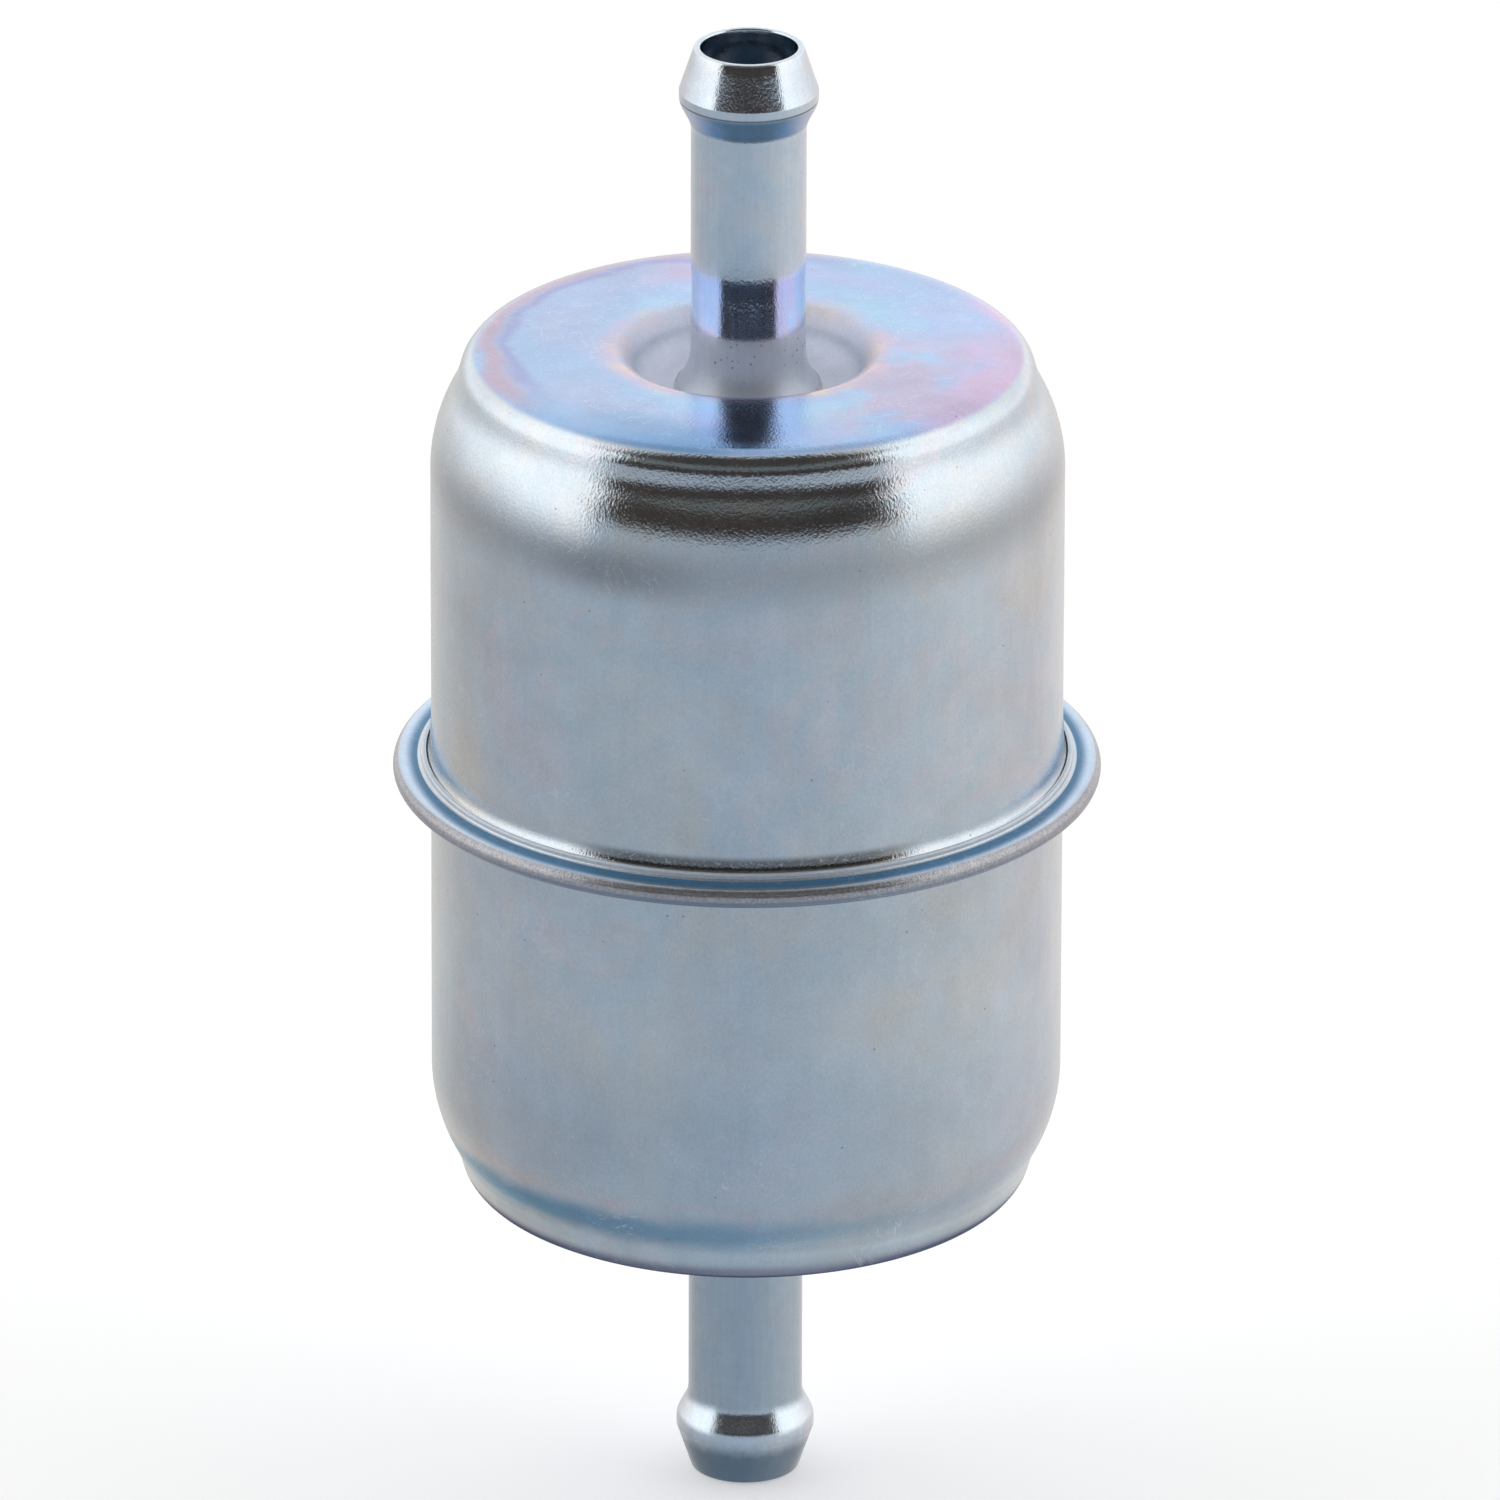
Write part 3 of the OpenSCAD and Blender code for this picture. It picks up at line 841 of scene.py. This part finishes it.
def with_lower_end_colors(color, s, under):
    """Adds rose, blue and pale bands around the lower neck, painted shade on its right, and slate and
    violet painted shade under the can.
    """
    patchy = s.noise(0.22, detail=3, distortion=0.8, stretch=(1, 1, 2), shift=17)
    wavy_z = s.z + patchy * 1.2 - 0.6
    color = color.mixed(LOWER_WALL, s.z.band(*LOWER_WALL_Z) * 0.6)
    color = color.mixed(NECK_ROSE, wavy_z.band(*NECK_ROSE_Z) * patchy.step(0.35, 0.6) * 0.45)
    # Painted shade on the right side of the lower neck
    color = color.mixed(NECK_SHADE, s.z.step(-22, -26) * s.x.step(-8, 9) * 0.45)
    color = color.mixed(NECK_BLUE, wavy_z.band(*NECK_BLUE_Z) * (s.x * -0.022 + 0.60))
    color = color.mixed(NECK_PALE, s.z.band(*NECK_PALE_Z) * 0.7)
    # Painted shade under the can: slate on the bottom, dark violet at its outer edge
    color = color.mixed(UNDER_PAINTED_SHADE, under * s.z.step(-31.3, -31.1) * 0.9)
    return color.mixed(RIM_VIOLET_PAINTED_SHADE, s.z.step(-31.0, -31.2) * s.radius.step(16.5, 18.5) * 0.8)


def interference_colors(s):
    """Broad soft patches of blue, violet and pink that follow circles around the end of the can."""
    around = s.vector(s.x / s.radius * 0.9, s.y / s.radius * 0.9, s.radius * 0.13)
    swirl = s.noise(1.0, detail=1, roughness=0.4, at=around)
    cloud = s.noise(0.10, detail=2, roughness=0.5, shift=7)
    brushed = s.noise(1.3, detail=3, at=s.vector(s.azimuth * 3, s.radius * 0.9, 0))
    wave = s.noise(0.13, detail=3, distortion=0.6, shift=23)
    phase = swirl * 0.75 + cloud * 0.45 + brushed * 0.10 - 0.15
    color = phase.ramp(
        (0.34, (0.42, 0.66, 0.88)),
        (0.44, (0.43, 0.60, 0.88)),
        (0.52, (0.48, 0.58, 0.86)),
        (0.58, (0.60, 0.55, 0.82)),
        (0.63, (0.68, 0.52, 0.72)),
        (0.69, (0.56, 0.54, 0.82)),
        (0.80, (0.42, 0.58, 0.88)),
    )
    # Blue on the left, a rose and violet rim at the back left, pink on the right,
    # a deep blue front edge, and pale scuffs on the left
    left = s.x.step(-2, -9) * swirl.step(0.36, 0.50)
    back_left = (s.y - s.x * 1.3).step(4, 16)
    right = s.x.step(3, 9) * s.y.step(5, -2) * wave.step(0.38, 0.52)
    front_edge = s.radius.step(13.0, 17.0) * s.y.step(-8, -13)
    scuff = s.scratches(0.20, (1, 1, 1), 3) * s.x.step(-4, -9)
    wavy_radius = s.radius + wave * 3.2
    color = color.mixed(PLATE_BLUE, left * 0.75)
    color = color.mixed(PLATE_ROSE, wavy_radius.band(19.2, 20.6, 0.6) * back_left * 0.8)
    color = color.mixed(PLATE_VIOLET, wavy_radius.band(18.3, 19.0, 0.5) * back_left * 0.7)
    color = color.mixed(PLATE_PINK, right * 0.75)
    color = color.mixed(PLATE_DEEP, front_edge * (s.x.band(-9, -1, 4) * 0.65 + 0.2))
    return color.mixed(SCUFF_PALE, scuff * 0.6)


def lip_colors(s):
    """Straw and rose around the dimple's lip."""
    blend = s.noise(0.22, detail=2, shift=11)
    return blend.ramp(
        (0.35, (0.80, 0.62, 0.54)),
        (0.50, (0.68, 0.54, 0.66)),
        (0.62, (0.52, 0.57, 0.78)),
    )


def zinc_tube():
    """The same plate on a turned tube, dull and pitted at its flare and violet under the barb, with
    painted reflections under the barb's front and on the lower cone, and painted shadow on the lower
    tube under the can.
    """
    s = Surface("zinc_tube")
    height = s.z.size()
    cloud = s.noise(0.3, detail=4, distortion=0.5)
    streak = s.noise(3, detail=3, roughness=0.6, stretch=(1, 1, 0.06))
    grain = s.noise(8, detail=2, stretch=(1, 1, 0.5))
    mottle = s.noise(0.9, detail=4, roughness=0.65, shift=5)
    flare = height.step(33.9, 33.2)
    drawn = height.band(*DRAWN_Z)
    under_barb = s.z.band(*UNDER_BARB_Z)
    front = s.x.size().step(4.6, 2.2) * s.y.step(0, -1)
    barb_below = s.z.step(-48.4, -48.8)
    pit = s.dots(2.2, 0.12, 0.05) + s.dots(2.4, 0.26, 0.45) * height.band(*PITTED_Z)

    color = cloud.ramp(
        (0.32, (0.65, 0.76, 0.86)),
        (0.50, (0.70, 0.78, 0.86)),
        (0.66, (0.75, 0.78, 0.83)),
    )
    color = color.mixed(MIRROR_ZINC, height.band(*MIRROR_Z) * 0.5)
    color = color.mixed(FLARE_ZINC, flare)
    color = color.mixed(BARB_VIOLET, under_barb * 0.45)
    # Painted reflection: dark blue under the barb at the front only
    color = color.mixed(BARB_PAINTED_REFLECTION, under_barb * front * 0.9)
    color = color.mixed(BARB_LINE, s.z.band(*BARB_LINE_Z) * 0.8)
    color = color.mixed(LOWER_TUBE_ZINC, s.z.band(*LOWER_TUBE_Z) * 0.85)
    # Painted reflection: the lower barb's cone is darkened to a dark blue
    color = color.mixed(LOWER_CONE_PAINTED_REFLECTION, (s.z + mottle * 0.7).band(*LOWER_CONE_Z) * 0.85)
    # Painted shadow of the can on the lower tube just beneath it
    color = color.mixed(LOWER_TUBE_PAINTED_SHADOW, s.z.band(*LOWER_SHADOW_Z) * 0.8)
    color = color.mixed(PIT_DARK, pit * 0.8)
    color = color.shaded(streak * 0.18 + grain * 0.12 + mottle * 0.20 + 0.74)

    dull = flare * 0.30 + drawn * 0.09 + under_barb * 0.25 + barb_below * 0.09
    nonmetal = flare * 0.45 + under_barb * 0.4
    return s.finish(
        Base_Color=color,
        Roughness=streak * 0.08 + grain * 0.05 + dull + 0.05,
        Normal=s.bump(grain, 0.011, s.bump(mottle, 0.006)),
        Metallic=nonmetal.flipped(),
    )


def plated_braze():
    s = Surface("plated_braze")
    cloud = s.noise(0.8, detail=4)
    color = cloud.ramp((0.35, (0.80, 0.62, 0.55)), (0.5, (0.82, 0.76, 0.74)), (0.65, (0.70, 0.72, 0.80)))
    roughness = cloud * 0.3 + 0.12
    normal = s.bump(s.noise(4, detail=3), 0.03)
    return s.finish(Base_Color=color, Roughness=roughness, Normal=normal, Metallic=1.0)


def seam_compound():
    s = Surface("seam_compound")
    mottle = s.noise(1.5, detail=4)
    color = mottle.ramp((0.3, (0.16, 0.17, 0.18)), (0.7, (0.26, 0.27, 0.28)))
    return s.finish(Base_Color=color, Roughness=mottle * 0.3 + 0.5, Normal=s.bump(mottle, 0.05))


def filter_paper():
    s = Surface("filter_paper")
    fibre = s.noise(3, detail=5, roughness=0.7, stretch=(1, 1, 0.4))
    cloud = s.noise(0.15, detail=3)
    color = cloud.ramp((0.3, (0.80, 0.66, 0.36)), (0.7, (0.87, 0.76, 0.48)))
    tone = fibre * 0.3 + 0.85
    color = color.shaded(tone)
    return s.finish(Base_Color=color, Roughness=fibre * 0.15 + 0.75, Normal=s.bump(fibre, 0.06))


def bright_steel():
    s = Surface("bright_steel")
    streak = s.noise(3, detail=3, roughness=0.6, stretch=(1, 1, 0.2))
    cloud = s.noise(0.2, detail=3)
    color = cloud.ramp((0.3, (0.58, 0.585, 0.60)), (0.7, (0.70, 0.70, 0.70)))
    roughness = streak * 0.2 + 0.2
    return s.finish(Base_Color=color, Roughness=roughness, Normal=s.bump(streak, 0.01), Metallic=1.0)


def cap_adhesive():
    s = Surface("cap_adhesive")
    cloud = s.noise(0.6, detail=4)
    color = cloud.ramp((0.3, (0.50, 0.13, 0.07)), (0.7, (0.66, 0.20, 0.11)))
    return s.finish(Base_Color=color, Roughness=cloud * 0.2 + 0.4, Normal=s.bump(cloud, 0.08))


def nitrile():
    s = Surface("nitrile")
    cloud = s.noise(1.2, detail=4)
    color = cloud.ramp((0.3, (0.018, 0.018, 0.02)), (0.7, (0.035, 0.035, 0.038)))
    return s.finish(Base_Color=color, Roughness=cloud * 0.2 + 0.5, Normal=s.bump(cloud, 0.03))


def spring_wire():
    s = Surface("spring_wire")
    cloud = s.noise(0.8, detail=4)
    color = cloud.ramp((0.3, (0.36, 0.37, 0.40)), (0.7, (0.52, 0.53, 0.55)))
    roughness = cloud * 0.2 + 0.2
    return s.finish(Base_Color=color, Roughness=roughness, Normal=s.bump(cloud, 0.01), Metallic=1.0)


FINISHES = {
    make.__name__: make()
    for make in (
        zinc_can, zinc_tube, plated_braze, seam_compound, filter_paper,
        bright_steel, cap_adhesive, nitrile, spring_wire,
    )
}


def place(piece, body, finish, *nodes):
    """Gives a piece its material, parents it to the body it rides on, and hides the CAD nodes it stands
    for.
    """
    piece.data.materials.append(FINISHES[finish])
    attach(piece, body)
    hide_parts(*nodes)


# ---------------------------------------------------------------- pieces

def can_shape(seed):
    """The slight unevenness of a drawn can's wall, which spreads a little just above the bead."""
    def shape(z, azimuth):
        on_wall = min(1, max(0, (abs(z) - 2) / 4))
        spread = SPREAD * math.exp(-((z - SPREAD_Z) / SPREAD_HALF) ** 2) if z > 1 else 0
        return spread + WALL_WAVE * on_wall * ripple(azimuth, z, 2.5, 0.06, seed)
    return shape


def make_shells():
    upper = turned("can_upper", inlet_shell_outline(), UP, shape=can_shape(3.1))
    place(upper, "housing", "zinc_can", "inlet_shell")
    lower = turned("can_lower", outlet_shell_outline(), DOWN, shape=can_shape(8.7))
    place(lower, "housing", "zinc_can", "outlet_shell")


def make_nipples():
    for name, side, node in (
        ("nipple_upper", UP, "inlet_nipple"),
        ("nipple_lower", DOWN, "outlet_nipple"),
    ):
        piece = turned(name, nipple_outline(), side, segments=192, longest=1)
        place(piece, "housing", "zinc_tube", node)


def make_braze_rings():
    for name, side, node in (
        ("braze_upper", UP, "inlet_braze_ring"),
        ("braze_lower", DOWN, "outlet_braze_ring"),
    ):
        piece = turned(name, braze_outline(), side, segments=192)
        place(piece, "housing", "plated_braze", node)


def make_element():
    closed_cap = cap_outline(high("closed_end_cap").z, low("closed_end_cap").z, 0)
    place(turned("cap_closed", closed_cap), "element", "bright_steel", "closed_end_cap")
    open_cap = cap_outline(low("open_end_cap").z, high("open_end_cap").z, CAP_HOLE_R)
    place(turned("cap_open", open_cap), "element", "bright_steel", "open_end_cap")
    closed_glue = adhesive_outline(high("closed_cap_adhesive").z, low("closed_cap_adhesive").z)
    place(turned("adhesive_closed", closed_glue), "element", "cap_adhesive", "closed_cap_adhesive")
    open_glue = adhesive_outline(low("open_cap_adhesive").z, high("open_cap_adhesive").z)
    place(turned("adhesive_open", open_glue), "element", "cap_adhesive", "open_cap_adhesive")
    place(folded_paper("pleats"), "element", "filter_paper", "filter_pleats")
    place(turned("seal", seal_outline(), segments=192), "element", "nitrile", "outlet_seal")


def make_spring():
    """The spring, parented to the housing, with its own copy of its mesh."""
    spring = coil("spring")
    place(spring, "housing", "spring_wire", "element_spring")
    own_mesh(spring)


def finish_cad_nodes():
    """Gives every CAD node the material of its slot in the record."""
    for part in frame["record"]["subparts"]:
        mesh = frame["nodes"][part["node"]].data
        mesh.materials.clear()
        mesh.materials.append(FINISHES[part["material_slot"]])


make_shells()
make_nipples()
make_braze_rings()
make_element()
make_spring()
finish_cad_nodes()


# ---------------------------------------------------------------- studio

CAMERA_LOOKS_DOWN = 22.8
CAMERA_DISTANCE = 1700
CAMERA_TARGET = Vector((0.21, 0, 0.95))
CAMERA_ROLL = 0.17
CAMERA_LENS = 578
FLOOR_RADIUS = 2900
FLOOR_SIDES = 96
FLOOR_GAP = 0.1

# Light of the studio's parts, in linear RGB
SIDE_LIGHT = (1.3, 1.3, 1.29)
BACK_LIGHT = (1.0, 1.0, 1.0)
TOP_LIGHT = (0.62, 0.63, 0.64)
DARK_CEILING = (0.060, 0.053, 0.049)
DARK_PANEL = (0.053, 0.043, 0.038)
GREY_STRIP = (0.160, 0.176, 0.170)


def make_camera():
    data = bpy.data.cameras.new("camera")
    data.lens = CAMERA_LENS
    data.clip_end = 20
    camera = bpy.data.objects.new("camera", data)
    bpy.context.scene.collection.objects.link(camera)
    offset = Vector((0, -cos(CAMERA_LOOKS_DOWN), sin(CAMERA_LOOKS_DOWN))) * CAMERA_DISTANCE
    camera.location = (CAMERA_TARGET + offset) * MM
    roll = Euler((0, 0, math.radians(CAMERA_ROLL))).to_quaternion()
    tilt = Euler((math.radians(90 - CAMERA_LOOKS_DOWN), 0, 0)).to_quaternion()
    camera.rotation_mode = "QUATERNION"
    camera.rotation_quaternion = tilt @ roll
    bpy.context.scene.camera = camera


def make_floor():
    """A pale disc that the lower tip stands on. It glows a little, and the metal doesn't mirror it."""
    angles = [360 * k / FLOOR_SIDES for k in range(FLOOR_SIDES)]
    rim = [(FLOOR_RADIUS * cos(angle), FLOOR_RADIUS * sin(angle), 0) for angle in angles]
    floor = new_object("floor", np.array(rim) * MM, [tuple(range(FLOOR_SIDES))])
    floor.location.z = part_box("outlet_nipple")[0].z - FLOOR_GAP * MM
    material = bpy.data.materials.new("floor")
    material.use_nodes = True
    shader = material.node_tree.nodes["Principled BSDF"]
    shader.inputs["Emission Color"].default_value = (1, 1, 1, 1)
    shader.inputs["Emission Strength"].default_value = 0.4
    shader.inputs["Base Color"].default_value = (0.9, 0.9, 0.9, 1)
    shader.inputs["Roughness"].default_value = 0.9
    shader.inputs["Specular IOR Level"].default_value = 0.1
    floor.data.materials.append(material)
    floor.visible_glossy = False


def make_world():
    """A soft studio: pale below, bright left, right and behind, with a dark panel in front."""
    world = bpy.data.worlds.new("studio")
    world.use_nodes = True
    bpy.context.scene.world = world
    tree = world.node_tree
    coordinates = tree.nodes.new("ShaderNodeTexCoord")
    split = tree.nodes.new("ShaderNodeSeparateXYZ")
    tree.links.new(coordinates.outputs["Generated"], split.inputs[0])
    x, y, z = (Field(tree, out) for out in split.outputs)
    # In degrees: around is 0 towards -Y, where the camera is, and above is 90 straight up
    around = x.math("ARCTAN2", y * -1) * (180 / math.pi)
    above = z.math("ARCSINE") * (180 / math.pi)
    away = around.size()

    color = (around / 360 + 0.5).ramp(
        (0.00, (0.76, 0.74, 0.70)),
        (0.07, (0.68, 0.67, 0.65)),
        (0.15, (0.54, 0.53, 0.53)),
        (0.23, (0.47, 0.49, 0.53)),
        (0.36, (0.43, 0.48, 0.53)),
        (0.50, (0.42, 0.48, 0.55)),
        (0.62, (0.52, 0.56, 0.60)),
        (0.75, (0.66, 0.67, 0.68)),
        (0.86, (0.74, 0.70, 0.70)),
        (0.95, (0.82, 0.79, 0.77)),
    )
    in_front = away.step(59, 57)
    color = color.mixed(SIDE_LIGHT, away.step(56, 60) * above.step(-18, 16))
    color = color.mixed(BACK_LIGHT, away.step(100, 140) * above.step(0, 12))
    color = color.mixed(TOP_LIGHT, above.step(50, 66) * 0.9)
    color = color.mixed(DARK_CEILING, above.step(43, 46) * above.step(87, 79) * away.step(85, 62))
    color = color.mixed(DARK_PANEL, above.step(10.5, 12.5) * above.step(33, 31) * in_front)
    color = color.mixed(GREY_STRIP, above.step(31, 33) * above.step(47, 44) * in_front)
    background = tree.nodes["Background"]
    tree.links.new(color.socket, background.inputs["Color"])
    background.inputs["Strength"].default_value = 1.0


make_camera()
make_floor()
make_world()
bpy.context.scene.view_settings.view_transform = "Standard"
